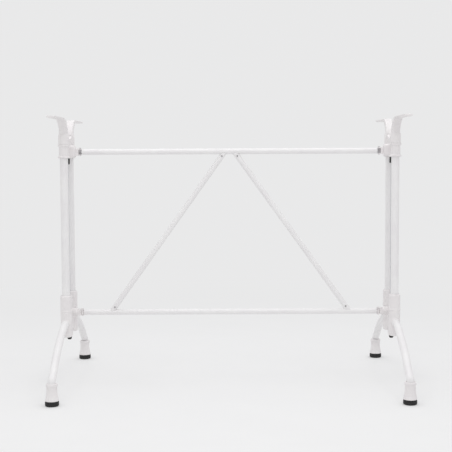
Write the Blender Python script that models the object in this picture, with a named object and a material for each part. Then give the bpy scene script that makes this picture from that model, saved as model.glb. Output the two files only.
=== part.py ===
"""White double-pedestal cafe table underframe.

Two end pedestals stand on bent tube legs and are joined by a tubular truss. Each pedestal hangs on two
vertical pins at the ends of the truss rods, so the ends can swing flat against the truss.
X runs along the truss, Y from front to rear and Z up. The floor is Z = 0.
"""
import math

import bmesh
import bpy
from mathutils import Matrix, Vector

# ------------------------------------------------------------------ driving dimensions, in metres
GAP = 0.0003                # clearance between pieces that touch

COLUMN_X = 0.450            # column pair, distance from the middle of the truss
COLUMN_Y = 0.050            # half the spacing of the two tubes of a pair
COLUMN_R = 0.0110
COLUMN_WALL = 0.0015
COLUMN_BOTTOM = 0.1350
COLUMN_TOP = 0.6500

PIN_X = 0.4127              # vertical hinge pins between truss and pedestal
PIN_R = 0.0019
LUG_R = 0.0039
LUG_HALF = 0.0098           # half height of the fork
SLOT_HALF = 0.0068          # half height of the slot for the rod eye
EYE_R = 0.0038
EYE_HALF = 0.0065
FORK_FACE = 0.4245          # inner face of the cast blocks

UPPER_ROD_Z = 0.637
LOWER_ROD_Z = 0.191
ROD_R = 0.008
ROD_BORE = 0.0058
ROD_END = 0.4082

BRACE_R = 0.0075
BRACE_TOP_X = 0.018
BRACE_FOOT_X = 0.326
BRACE_SCREW_R = 0.0024

HEAD_BOTTOM = 0.6200
HEAD_SEAM = 0.6570
HEAD_SADDLE = 0.6840
SLEEVE_R = 0.0134
FLANGE_R = 0.0160
HEAD_WEB_HALF = 0.0090      # half thickness of the head's web, along X

HUB_BOTTOM = 0.1300
HUB_COLLAR = 0.2015
HUB_TOP = 0.2450
HUB_R = 0.0158
HUB_BARREL_R = 0.0095
HUB_BARREL_TOP = 0.2035
HUB_WEB_HALF = 0.0070
HUB_BARREL_BOTTOM = 0.1270
LEG_Z = 0.168
LEG_START = 0.0690
LEG_R = 0.010
KNUCKLE_R = 0.0100           # short upright of the hub above each leg stub
KNUCKLE_Y = 0.0575
KNUCKLE_TOP = 0.1985

TIE_ROD_R = 0.004
TAB_TOP = 0.7280
FOOT_Y = 0.300
BOOT_BOTTOM = 0.0130
BOOT_FLOOR = 0.0317
BOOT_TOP = 0.0570
PAD_R = 0.018
PAD_TOP = 0.0125

# Horn arm, from the sleeve out to the tip of the tab:
# distance from the middle, height, width along X, thickness, corner radius.
ARM_STATIONS = (
    (0.0500, HEAD_SEAM + GAP, 0.0290, 0.0290, 0.0140),
    (0.0500, 0.6780, 0.0290, 0.0290, 0.0140),
    (0.0500, 0.6825, 0.0275, 0.0285, 0.0125),
    (0.0503, 0.6865, 0.0240, 0.0255, 0.0085),
    (0.0525, 0.6935, 0.0225, 0.0222, 0.0055),
    (0.0582, 0.7025, 0.0220, 0.0190, 0.0042),
    (0.0675, 0.7113, 0.0220, 0.0168, 0.0036),
    (0.0795, 0.7185, 0.0220, 0.0150, 0.0032),
    (0.0900, 0.7220, 0.0220, 0.0115, 0.0026),
    (0.0990, 0.7247, 0.0220, 0.0064, 0.0016),
    (0.1120, TAB_TOP - 0.0025, 0.0220, 0.0050, 0.0012),
    (0.2500, TAB_TOP - 0.0025, 0.0220, 0.0050, 0.0012),
)

# Centre line of a leg tube, from the hub out to the foot: distance from the middle, height.
LEG_STATIONS = (
    (LEG_START, LEG_Z),
    (0.0880, 0.1668),
    (0.1080, 0.1622),
    (0.1300, 0.1545),
    (0.1650, 0.1405),
    (0.2000, 0.1245),
    (0.2350, 0.1055),
    (0.2620, 0.0870),
    (0.2800, 0.0750),
    (0.2915, 0.0680),
    (0.2980, 0.0640),
    (0.3000, 0.0605),
    (0.3000, BOOT_FLOOR + 0.0005),
)

# Turned profiles, as radius and height.
BOOT_PROFILE = (
    (0.0180, BOOT_BOTTOM),
    (0.0180, 0.0155),
    (0.0162, 0.0200),
    (0.0145, 0.0270),
    (0.0135, 0.0360),
    (0.0135, 0.0490),
    (0.0150, 0.0502),
    (0.0150, 0.0556),
    (0.0138, BOOT_TOP),
    (LEG_R + 0.0004, BOOT_TOP),
    (LEG_R + 0.0004, BOOT_FLOOR),
    (TIE_ROD_R + 0.0004, BOOT_FLOOR),
    (TIE_ROD_R + 0.0004, BOOT_BOTTOM),
)
PAD_PROFILE = (
    (0.0150, 0.0000),
    (0.0172, 0.0012),
    (PAD_R, 0.0038),
    (PAD_R, 0.0100),
    (0.0168, PAD_TOP),
)
HEAD_SLEEVE_PROFILE = (
    (FLANGE_R - 0.0006, HEAD_BOTTOM),
    (FLANGE_R, HEAD_BOTTOM + 0.0008),
    (FLANGE_R, HEAD_BOTTOM + 0.0032),
    (SLEEVE_R, HEAD_BOTTOM + 0.0046),
    (SLEEVE_R, HEAD_SEAM - 0.0055),
    (FLANGE_R - 0.0002, HEAD_SEAM - 0.0042),
    (FLANGE_R - 0.0002, HEAD_SEAM - 0.0008),
    (FLANGE_R - 0.0010, HEAD_SEAM),
)
HUB_SLEEVE_PROFILE = (
    (0.0128, HUB_BOTTOM),
    (HUB_R, HUB_BOTTOM + 0.0030),
    (HUB_R, HUB_COLLAR - 0.0012),
    (HUB_R + 0.0012, HUB_COLLAR - 0.0006),
    (HUB_R + 0.0012, HUB_COLLAR + 0.0014),
    (HUB_R, HUB_COLLAR + 0.0020),
    (HUB_R, HUB_TOP - 0.0025),
    (0.0138, HUB_TOP),
)
CAP_NUT_PROFILE = (
    (0.0020, 0.1142),
    (0.0045, 0.1152),
    (0.0060, 0.1172),
    (0.0065, 0.1200),
    (0.0075, 0.1206),
    (0.0075, 0.1266),
    (TIE_ROD_R + 0.0004, 0.1266),
    (TIE_ROD_R + 0.0004, 0.1178),
)
LOCK_NUT_PROFILE = (
    (0.0072, 0.6030),
    (0.0082, 0.6040),
    (0.0082, 0.6185),
    (0.0072, 0.6195),
    (TIE_ROD_R + 0.0003, 0.6195),
    (TIE_ROD_R + 0.0003, 0.6030),
)


# ------------------------------------------------------------------ helpers
def remove_everything():
    """Start from an empty file."""
    for item in list(bpy.data.objects):
        bpy.data.objects.remove(item, do_unlink=True)


def make_material(name, colour, metallic, roughness):
    """One Principled surface with a plain colour."""
    material = bpy.data.materials.new(name)
    material.use_nodes = True
    shader = material.node_tree.nodes["Principled BSDF"]
    shader.inputs["Base Color"].default_value = (*colour, 1.0)
    shader.inputs["Metallic"].default_value = metallic
    shader.inputs["Roughness"].default_value = roughness
    material.diffuse_color = (*colour, 1.0)
    return material


def skinned(rings, hollow=False):
    """Skin a row of equal rings. A hollow row closes on itself, any other row gets two end caps."""
    body = bmesh.new()
    rows = [[body.verts.new(point) for point in ring] for ring in rings]
    count = len(rows[0])
    pairs = list(zip(rows, rows[1:]))
    if hollow:
        pairs.append((rows[-1], rows[0]))
    for low, high in pairs:
        for i in range(count):
            j = (i + 1) % count
            body.faces.new((low[i], low[j], high[j], high[i]))
    if not hollow:
        body.faces.new(list(reversed(rows[0])))
        body.faces.new(rows[-1])
    bmesh.ops.recalc_face_normals(body, faces=body.faces)
    return body


def turned(profile, x=0.0, y=0.0, z=0.0, steps=24, hollow=False):
    """Turn a profile of radii and heights about a vertical axis."""
    rings = []
    for radius, height in profile:
        ring = []
        for i in range(steps):
            angle = 2.0 * math.pi * (i + 0.5) / steps
            ring.append((x + radius * math.cos(angle), y + radius * math.sin(angle), z + height))
        rings.append(ring)
    return skinned(rings, hollow)


def turned_along(profile, start, direction, steps=24, hollow=False):
    """Turn a profile about any axis, its heights measured from the start point."""
    body = turned(profile, steps=steps, hollow=hollow)
    turn = Vector((0.0, 0.0, 1.0)).rotation_difference(Vector(direction)).to_matrix().to_4x4()
    bmesh.ops.transform(body, matrix=Matrix.Translation(start) @ turn, verts=body.verts)
    bmesh.ops.recalc_face_normals(body, faces=body.faces)
    return body


def extruded_x(outline, x_low, x_high):
    """Prism along X from an outline of (y, z) points."""
    return skinned([[(x, y, z) for y, z in outline] for x in (x_low, x_high)])


def block(low, high):
    """Rectangular solid between two corners."""
    outline = ((low[1], low[2]), (high[1], low[2]), (high[1], high[2]), (low[1], high[2]))
    return extruded_x(outline, low[0], high[0])


def temporary(body):
    """Wrap a body in a scratch object for one Boolean."""
    mesh = bpy.data.meshes.new("scratch")
    body.to_mesh(mesh)
    body.free()
    item = bpy.data.objects.new("scratch", mesh)
    bpy.context.scene.collection.objects.link(item)
    return item


def combined(first, adds=(), cuts=()):
    """Join bodies to the first one, then take the cutting bodies away from it."""
    target = temporary(first)
    tools = []
    for operation, group in (("UNION", adds), ("DIFFERENCE", cuts)):
        for body in group:
            tool = temporary(body)
            step = target.modifiers.new("shape", "BOOLEAN")
            step.solver = "EXACT"
            step.operation = operation
            step.object = tool
            tools.append(tool)
    graph = bpy.context.evaluated_depsgraph_get()
    mesh = bpy.data.meshes.new_from_object(target.evaluated_get(graph))
    result = bmesh.new()
    result.from_mesh(mesh)
    for item in tools + [target]:
        bpy.data.objects.remove(item, do_unlink=True)
    bmesh.ops.remove_doubles(result, verts=result.verts, dist=0.00002)
    bmesh.ops.dissolve_degenerate(result, edges=result.edges, dist=0.00002)
    bmesh.ops.triangulate(result, faces=result.faces)
    bmesh.ops.recalc_face_normals(result, faces=result.faces)
    return result


def empty(name, location):
    """Joint frame that the moving pieces hang on."""
    frame = bpy.data.objects.new(name, None)
    frame.location = location
    frame.empty_display_size = 0.03
    bpy.context.scene.collection.objects.link(frame)
    return frame


def place(name, body, material, parent=None):
    """Store one solid as a named object under its parent."""
    origin = Vector(parent.location) if parent else Vector((0.0, 0.0, 0.0))
    bmesh.ops.translate(body, vec=-origin, verts=body.verts)
    for face in body.faces:
        face.smooth = True
    for edge in body.edges:
        if len(edge.link_faces) == 2 and edge.calc_face_angle(0.0) > math.radians(32.0):
            edge.smooth = False
    mesh = bpy.data.meshes.new(name)
    body.to_mesh(mesh)
    body.free()
    mesh.materials.append(material)
    item = bpy.data.objects.new(name, mesh)
    bpy.context.scene.collection.objects.link(item)
    item.parent = parent
    return item


def rounded_section(width, thickness, radius, per_corner=4):
    """Rounded rectangle as (across, up) points."""
    radius = min(radius, width / 2 - 0.0001, thickness / 2 - 0.0001)
    points = []
    for corner, (sx, sy) in enumerate(((1, 1), (-1, 1), (-1, -1), (1, -1))):
        for i in range(per_corner):
            angle = math.radians(90.0 * corner + 90.0 * i / (per_corner - 1))
            across = sx * (width / 2 - radius) + radius * math.cos(angle)
            up = sy * (thickness / 2 - radius) + radius * math.sin(angle)
            points.append((across, up))
    return points


def directions(stations):
    """Unit direction at every station of a (y, z) line."""
    result = []
    last = len(stations) - 1
    for i in range(len(stations)):
        a = stations[max(i - 1, 0)]
        b = stations[min(i + 1, last)]
        result.append(Vector((0.0, b[0] - a[0], b[1] - a[1])).normalized())
    return result


# ------------------------------------------------------------------ cast pieces
def fork(side, z):
    """Slotted boss that carries one hinge pin, as the solid and its two cuts."""
    outline = [(side * (FORK_FACE + 0.004), LUG_R), (side * (FORK_FACE + 0.004), -LUG_R)]
    for i in range(9):
        angle = math.radians(-90.0 + 180.0 * i / 8)
        outline.append((side * (PIN_X - LUG_R * math.cos(angle)), LUG_R * math.sin(angle)))
    solid = skinned([[(x, y, z + h) for x, y in outline] for h in (-LUG_HALF, LUG_HALF)])
    slot_ends = sorted((side * (PIN_X - 0.006), side * (PIN_X + LUG_R + 0.0004)))
    slot = block((slot_ends[0], -0.006, z - SLOT_HALF), (slot_ends[1], 0.006, z + SLOT_HALF))
    hole_profile = ((PIN_R + GAP, -0.012), (PIN_R + GAP, 0.012))
    hole = turned(hole_profile, side * PIN_X, 0.0, z, steps=12)
    return solid, slot, hole


def hub_boss(side):
    """Short round block between the hub's barrel and the hinge fork."""
    profile = ((0.0100, 0.0), (0.0115, 0.0015), (0.0115, 0.0200))
    return turned_along(profile, (side * FORK_FACE, 0.0, LOWER_ROD_Z), (side, 0.0, 0.0), steps=20)


def head_boss(side):
    """Block as tall as the head between its web and the hinge fork, narrower at its inner face."""
    middle = (HEAD_BOTTOM + HEAD_SEAM) / 2
    rings = []
    for x, half_y, half_z, radius in (
        (FORK_FACE, 0.0095, 0.0130, 0.0060),
        (FORK_FACE + 0.0030, 0.0130, 0.0165, 0.0070),
        (FORK_FACE + 0.0180, 0.0165, 0.0176, 0.0070),
    ):
        section = rounded_section(2 * half_y, 2 * half_z, radius)
        rings.append([(side * x, across, middle + up) for across, up in section])
    return skinned(rings)


def saddle_outline():
    """Web of the head, with the U-shaped saddle between the two arms."""
    inner = COLUMN_Y - 0.0290 / 2 - GAP
    outline = [(-0.0460, HEAD_BOTTOM + 0.0020), (0.0460, HEAD_BOTTOM + 0.0020)]
    outline += [(0.0460, HEAD_SEAM - 0.0020), (inner, HEAD_SEAM - 0.0020)]
    for i in range(9):
        angle = math.radians(180.0 * i / 8)
        y = inner * math.cos(angle)
        z = HEAD_SADDLE - 0.0105 * math.sin(angle) ** 0.7
        outline.append((y, z))
    outline += [(-inner, HEAD_SEAM - 0.0020), (-0.0460, HEAD_SEAM - 0.0020)]
    return outline


def head_casting(side):
    """Upper casting: two flanged sleeves, a web with a saddle, and a hinge fork."""
    x = side * COLUMN_X
    sleeves = [turned(HEAD_SLEEVE_PROFILE, x, y) for y in (-COLUMN_Y, COLUMN_Y)]
    web = extruded_x(saddle_outline(), x - HEAD_WEB_HALF, x + HEAD_WEB_HALF)
    core = turned(((0.0135, HEAD_BOTTOM + 0.001), (0.0135, HEAD_SEAM - 0.003)), x, 0.0)
    solid, slot, pin_hole = fork(side, UPPER_ROD_Z)
    bore = ((COLUMN_R + GAP, HEAD_BOTTOM - 0.01), (COLUMN_R + GAP, COLUMN_TOP + GAP))
    cuts = [turned(bore, x, y) for y in (-COLUMN_Y, COLUMN_Y)]
    rod_bore = ((TIE_ROD_R + GAP, HEAD_BOTTOM - 0.01), (TIE_ROD_R + GAP, COLUMN_TOP + GAP))
    cuts.append(turned(rod_bore, x, 0.0, steps=12))
    adds = [sleeves[1], web, core, head_boss(side), solid]
    return combined(sleeves[0], adds, cuts + [slot, pin_hole])


def hub_outline():
    """Web of the hub, with an arched lower edge."""
    outline = []
    for i in range(9):
        y = -0.0460 + 0.0920 * i / 8
        outline.append((y, HUB_BOTTOM + 0.0050 + 0.0100 * math.cos(math.pi * y / 0.0920)))
    outline += [(0.0460, 0.2180), (0.0300, 0.2240), (-0.0300, 0.2240), (-0.0460, 0.2180)]
    return outline


def hub_casting(side):
    """Lower casting: two sleeves, a thin web, elbows for the legs, a centre barrel and a hinge fork."""
    x = side * COLUMN_X
    sleeves = [turned(HUB_SLEEVE_PROFILE, x, y) for y in (-COLUMN_Y, COLUMN_Y)]
    web = extruded_x(hub_outline(), x - HUB_WEB_HALF, x + HUB_WEB_HALF)
    barrel = turned(((HUB_BARREL_R, HUB_BARREL_BOTTOM), (HUB_BARREL_R, HUB_BARREL_TOP)), x, 0.0, steps=20)
    solid, slot, pin_hole = fork(side, LOWER_ROD_Z)
    stubs = []
    for facing in (-1.0, 1.0):
        profile = ((0.0118, 0.0), (0.0118, 0.0165), (0.0106, LEG_START - COLUMN_Y - GAP))
        start = (x, facing * COLUMN_Y, LEG_Z)
        stubs.append(turned_along(profile, start, (0.0, facing, 0.0), steps=20))
        knuckle = ((KNUCKLE_R, LEG_Z - 0.0060), (KNUCKLE_R, KNUCKLE_TOP - 0.0020), (KNUCKLE_R - 0.0015, KNUCKLE_TOP))
        stubs.append(turned(knuckle, x, facing * KNUCKLE_Y, steps=20))
    bore = ((COLUMN_R + GAP, COLUMN_BOTTOM - GAP), (COLUMN_R + GAP, HUB_TOP + 0.01))
    cuts = [turned(bore, x, y) for y in (-COLUMN_Y, COLUMN_Y)]
    rod_bore = ((TIE_ROD_R + GAP, HUB_BARREL_BOTTOM - 0.01), (TIE_ROD_R + GAP, 0.2400))
    cuts.append(turned(rod_bore, x, 0.0, steps=12))
    adds = [sleeves[1], web, barrel, hub_boss(side), solid] + stubs
    return combined(sleeves[0], adds, cuts + [slot, pin_hole])


def horn_arm(side, facing):
    """Arm that sweeps up and out from a sleeve and ends in a flat tab."""
    lines = [(y, z) for y, z, _, _, _ in ARM_STATIONS]
    tangents = directions(lines)
    tangents[1] = Vector((0.0, 0.0, 1.0))
    tangents[-2] = Vector((0.0, 1.0, 0.0))
    rings = []
    for (y, z, width, thickness, radius), tangent in zip(ARM_STATIONS, tangents):
        normal = Vector((0.0, -tangent.z, tangent.y))
        ring = []
        for across, up in rounded_section(width, thickness, radius):
            point_y = y + normal.y * up
            point_z = z + normal.z * up
            ring.append((side * COLUMN_X + across, facing * point_y, point_z))
        rings.append(ring)
    return skinned(rings)


def leg_tube(side, facing, steps=16):
    """Bent leg tube from the hub stub down into the boot."""
    tangents = directions(LEG_STATIONS)
    tangents[0] = Vector((0.0, 1.0, 0.0))
    tangents[-2] = Vector((0.0, 0.12, -1.0)).normalized()
    tangents[-1] = Vector((0.0, 0.0, -1.0))
    rings = []
    for (y, z), tangent in zip(LEG_STATIONS, tangents):
        normal = Vector((0.0, -tangent.z, tangent.y))
        ring = []
        for i in range(steps):
            angle = 2.0 * math.pi * (i + 0.5) / steps
            across = LEG_R * math.cos(angle)
            up = LEG_R * math.sin(angle)
            ring.append((side * COLUMN_X + across, facing * (y + normal.y * up), z + normal.z * up))
        rings.append(ring)
    return skinned(rings)


# ------------------------------------------------------------------ truss pieces
def brace(side, steps=16):
    """Round brace with both ends coped to the rods they are fixed to. A strip of each cap lies along X."""
    foot = Vector((side * BRACE_FOOT_X, 0.0, LOWER_ROD_Z + ROD_R))
    top = Vector((side * BRACE_TOP_X, 0.0, UPPER_ROD_Z - ROD_R))
    axis = (top - foot).normalized()
    normal = Vector((-axis.z, 0.0, axis.x))
    reach = ROD_R + GAP
    rings = []
    for centre, rod_z, facing in ((foot, LOWER_ROD_Z, 1.0), (top, UPPER_ROD_Z, -1.0)):
        ring = []
        for i in range(steps):
            angle = 2.0 * math.pi * i / steps
            y = BRACE_R * math.sin(angle)
            point = centre + normal * (BRACE_R * math.cos(angle))
            end_z = rod_z + facing * math.sqrt(reach ** 2 - y ** 2)
            point = point + axis * ((end_z - point.z) / axis.z)
            ring.append((point.x, y, end_z))
        rings.append(ring)
    body = bmesh.new()
    low = [body.verts.new(point) for point in rings[0]]
    high = [body.verts.new(point) for point in rings[1]]
    half = steps // 2
    for i in range(steps):
        j = (i + 1) % steps
        body.faces.new((low[i], low[j], high[j], high[i]))
    for row in (low, high):
        for i in range(-steps // 4, steps // 4):
            corners = [row[k % steps] for k in (i, i + 1, half - i - 1, half - i)]
            body.faces.new(list(dict.fromkeys(corners)))
    bmesh.ops.recalc_face_normals(body, faces=body.faces)
    return body


def brace_screw(side, upper):
    """Pan head of the screw through one end of a brace, facing the front."""
    profile = ((BRACE_SCREW_R, 0.0), (BRACE_SCREW_R, 0.0008), (0.0016, 0.0015))
    foot = Vector((side * BRACE_FOOT_X, 0.0, LOWER_ROD_Z + ROD_R))
    top = Vector((side * BRACE_TOP_X, 0.0, UPPER_ROD_Z - ROD_R))
    along = (top - foot).normalized()
    point = top - along * 0.006 if upper else foot + along * 0.008
    start = (point.x, -BRACE_R - GAP, point.z)
    return turned_along(profile, start, (0.0, -1.0, 0.0), steps=12)


def cross_rod(z):
    """Round tube between the two pedestals, bored for the rod eyes."""
    length = 2.0 * ROD_END
    profile = ((ROD_R - 0.0008, 0.0), (ROD_R, 0.0008), (ROD_R, length - 0.0008),
               (ROD_R - 0.0008, length), (ROD_BORE, length), (ROD_BORE, 0.0))
    return turned_along(profile, (-ROD_END, 0.0, z), (1.0, 0.0, 0.0), steps=20, hollow=True)


def rod_eye(side, z):
    """Dark rod end: an eye round the pin, a neck and a plug inside the rod."""
    eye = turned(((EYE_R, -EYE_HALF), (EYE_R, EYE_HALF)), side * PIN_X, 0.0, z, steps=20)
    ends = sorted((side * (ROD_END - 0.0010), side * (PIN_X - 0.0005)))
    neck = block((ends[0], -0.0030, z - 0.0044), (ends[1], 0.0030, z + 0.0044))
    radius = ROD_BORE - GAP
    start = (side * (ROD_END - 0.0003), 0.0, z)
    plug = turned_along(((radius, 0.0), (radius, 0.0150)), start, (-side, 0.0, 0.0), steps=20)
    hole = turned(((PIN_R + GAP, -0.010), (PIN_R + GAP, 0.010)), side * PIN_X, 0.0, z, steps=12)
    return combined(eye, (neck, plug), (hole,))


def hinge_pin(side, z):
    """Pin with a small flat head resting on the upper lug."""
    head = LUG_HALF + GAP
    profile = ((PIN_R - 0.0003, -0.0108), (PIN_R, -0.0105), (PIN_R, head), (0.0033, head),
               (0.0033, head + 0.0010), (0.0026, head + 0.0015))
    return turned(profile, side * PIN_X, 0.0, z, steps=12)


# ------------------------------------------------------------------ assembly
def build_truss(white, dark, screw):
    """The rods, braces, screws and rod eyes, which hold still."""
    place("upper_rod", cross_rod(UPPER_ROD_Z), white)
    place("lower_rod", cross_rod(LOWER_ROD_Z), white)
    for side, name in ((-1.0, "left"), (1.0, "right")):
        place("brace_" + name, brace(side), white)
        place("rod_eye_upper_" + name, rod_eye(side, UPPER_ROD_Z), dark)
        place("rod_eye_lower_" + name, rod_eye(side, LOWER_ROD_Z), dark)
        place("brace_screw_upper_" + name, brace_screw(side, True), screw)
        place("brace_screw_lower_" + name, brace_screw(side, False), screw)


def build_end(side, name, white, cast, dark, black, nut, stem):
    """One pedestal, hung on its hinge axis, with four pieces at each foot."""
    swing = empty("swing_" + name, (side * PIN_X, 0.0, 0.0))
    x = side * COLUMN_X
    place("head_casting_" + name, head_casting(side), cast, swing)
    place("hub_casting_" + name, hub_casting(side), cast, swing)
    place("hinge_pin_upper_" + name, hinge_pin(side, UPPER_ROD_Z), dark, swing)
    place("hinge_pin_lower_" + name, hinge_pin(side, LOWER_ROD_Z), dark, swing)
    tie = ((TIE_ROD_R, 0.1182), (TIE_ROD_R, COLUMN_TOP))
    place("tie_rod_" + name, turned(tie, x, 0.0, steps=12), stem, swing)
    place("cap_nut_" + name, turned(CAP_NUT_PROFILE, x, 0.0, steps=18), nut, swing)
    place("lock_nut_" + name, turned(LOCK_NUT_PROFILE, x, 0.0, steps=18, hollow=True), nut, swing)
    for facing, where in ((-1.0, "front"), (1.0, "rear")):
        label = where + "_" + name
        inner = COLUMN_R - COLUMN_WALL
        tube = ((COLUMN_R, COLUMN_BOTTOM), (COLUMN_R, COLUMN_TOP), (inner, COLUMN_TOP), (inner, COLUMN_BOTTOM))
        y = facing * COLUMN_Y
        place("column_" + label, turned(tube, x, y, hollow=True), white, swing)
        place("arm_" + label, horn_arm(side, facing), cast, swing)
        place("leg_" + label, leg_tube(side, facing), white, swing)
        y = facing * FOOT_Y
        place("boot_" + label, turned(BOOT_PROFILE, x, y, steps=20, hollow=True), cast, swing)
        foot = empty("foot_" + label, (x, y, 0.0))
        place("glide_pad_" + label, turned(PAD_PROFILE, x, y, steps=20), black, foot)
        thread = ((TIE_ROD_R, PAD_TOP + GAP), (TIE_ROD_R, 0.0305))
        place("glide_stem_" + label, turned(thread, x, y, steps=12), stem, foot)


def main():
    """Build the whole underframe."""
    remove_everything()
    white = make_material("white_powder_coated_tube", (0.84, 0.84, 0.85), 0.0, 0.42)
    cast = make_material("white_powder_coated_casting", (0.82, 0.81, 0.82), 0.0, 0.48)
    dark = make_material("dark_zinc_hinge_metal", (0.10, 0.10, 0.11), 0.8, 0.45)
    black = make_material("black_moulded_pad", (0.015, 0.015, 0.016), 0.0, 0.55)
    nut = make_material("black_cap_nut_plastic", (0.02, 0.02, 0.02), 0.0, 0.40)
    stem = make_material("zinc_plated_thread", (0.55, 0.56, 0.57), 1.0, 0.35)
    screw = make_material("dark_screw_steel", (0.08, 0.08, 0.08), 0.8, 0.40)
    build_truss(white, dark, screw)
    for side, name in ((-1.0, "left"), (1.0, "right")):
        build_end(side, name, white, cast, dark, black, nut, stem)


main()
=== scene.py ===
# %% [markdown]
# # A white cafe table underframe
# The object is a metal underframe without its table top. Two end pedestals stand on bent tube legs, and a
# light truss of round tube joins them. Everything white is one powder coat over steel tube and cast metal.
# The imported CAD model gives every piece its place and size. This script lays a finer surface over it.

# %% Load the frame
import math

import bmesh
import bpy
from mathutils import Matrix, Vector


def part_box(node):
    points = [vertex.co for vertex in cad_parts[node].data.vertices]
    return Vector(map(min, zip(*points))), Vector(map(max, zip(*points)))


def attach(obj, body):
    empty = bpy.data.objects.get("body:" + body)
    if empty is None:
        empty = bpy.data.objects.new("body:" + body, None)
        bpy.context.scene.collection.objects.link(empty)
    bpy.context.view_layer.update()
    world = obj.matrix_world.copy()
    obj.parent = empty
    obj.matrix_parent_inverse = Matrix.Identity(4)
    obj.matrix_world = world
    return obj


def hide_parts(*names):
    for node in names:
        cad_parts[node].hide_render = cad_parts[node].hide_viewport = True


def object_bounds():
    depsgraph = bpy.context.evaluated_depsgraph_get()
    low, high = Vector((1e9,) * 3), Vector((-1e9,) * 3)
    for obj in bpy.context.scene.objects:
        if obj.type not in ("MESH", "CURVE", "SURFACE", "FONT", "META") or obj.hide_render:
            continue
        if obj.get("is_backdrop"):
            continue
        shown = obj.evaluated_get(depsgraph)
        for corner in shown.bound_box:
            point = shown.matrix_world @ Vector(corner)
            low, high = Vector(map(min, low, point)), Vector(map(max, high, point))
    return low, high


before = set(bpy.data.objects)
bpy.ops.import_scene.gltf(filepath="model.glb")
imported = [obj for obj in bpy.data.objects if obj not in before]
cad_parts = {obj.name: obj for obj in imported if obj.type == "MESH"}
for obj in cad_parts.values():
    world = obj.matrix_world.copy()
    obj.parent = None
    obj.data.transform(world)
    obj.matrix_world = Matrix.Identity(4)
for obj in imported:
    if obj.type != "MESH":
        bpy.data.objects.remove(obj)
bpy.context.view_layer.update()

# %% [markdown]
# ## Sizes that several pieces share
# A furniture maker buys tube in stock diameters, so a few numbers decide most of the shapes. They are in
# metres. X runs along the truss, Y from front to rear, and Z up from the floor.

# %% Shared sizes
MM = 0.001
SIDES = ((-1.0, "left"), (1.0, "right"))
FACINGS = ((-1.0, "front"), (1.0, "rear"))
COLUMN_X = 0.450
COLUMN_Y = 0.050
COLUMN_R = 11.0 * MM
PIN_X = 0.4127
PIN_HOLE_R = 2.2 * MM
ROD_END = 0.4082
ROD_R = 8.0 * MM
UPPER_ROD_Z = 0.637
LOWER_ROD_Z = 0.191
BRACE_R = 7.5 * MM
TIE_ROD_R = 4.0 * MM
FOOT_Y = 0.300
LEG_R = 0.010
TAB_TOP = 0.7280
print("pedestals stand", round(2 * COLUMN_X / MM), "mm apart")

# %% [markdown]
# ## Colour
# Paint makers give colours as sRGB hex values, but a renderer adds up light, so it needs linear numbers.
# One function does the change for every colour in the script.


# %% Colour from a hex value
def colour(hex_value):
    """Linear RGBA of an sRGB value such as #E8E8EA."""
    parts = [int(hex_value[i:i + 2], 16) / 255.0 for i in (1, 3, 5)]
    linear = [c / 12.92 if c <= 0.04045 else ((c + 0.055) / 1.055) ** 2.4 for c in parts]
    return (*linear, 1.0)


print("powder coat white is", [round(c, 3) for c in colour("#E9E9EA")])

# %% [markdown]
# ## A way to write materials
# A node material is a small machine: boxes with settings, and wires between them. One function adds a box,
# sets it and wires it, so that each material below reads like a parts list.


# %% Add one node
def add_node(material, kind, settings=None, links=None):
    """Add a node; settings go to its attributes or inputs, links join (node, output) to an input."""
    node = material.node_tree.nodes.new(kind)
    for name, value in (settings or {}).items():
        if isinstance(name, str) and hasattr(node, name):
            setattr(node, name, value)
        else:
            node.inputs[name].default_value = value
    for name, (source, output) in (links or {}).items():
        material.node_tree.links.new(source.outputs[output], node.inputs[name])
    return node


def start_material(name):
    """An empty node material and its output node."""
    material = bpy.data.materials.new(name)
    material.use_nodes = True
    material.node_tree.nodes.clear()
    return material, material.node_tree.nodes.new("ShaderNodeOutputMaterial")


def finish_material(material, output, shader):
    """Wire the shader to the output."""
    material.node_tree.links.new(shader.outputs[0], output.inputs["Surface"])
    print(material.name, "has", len(material.node_tree.nodes), "nodes")
    return material


# %% [markdown]
# ## Powder coat on tube
# Polyester powder is sprayed on dry and baked until it flows. It leaves a tough satin skin with a faint
# orange peel, ripples 2 to 3 mm apart. Handling leaves patches that are a little duller, and the film is a
# touch greyer where it is thin. Its IOR is that of most plastics, 1.5, and it is not a metal.
# The grain of the film is finer than the picture can show, so it is drawn at 0.6 mm.


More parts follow.
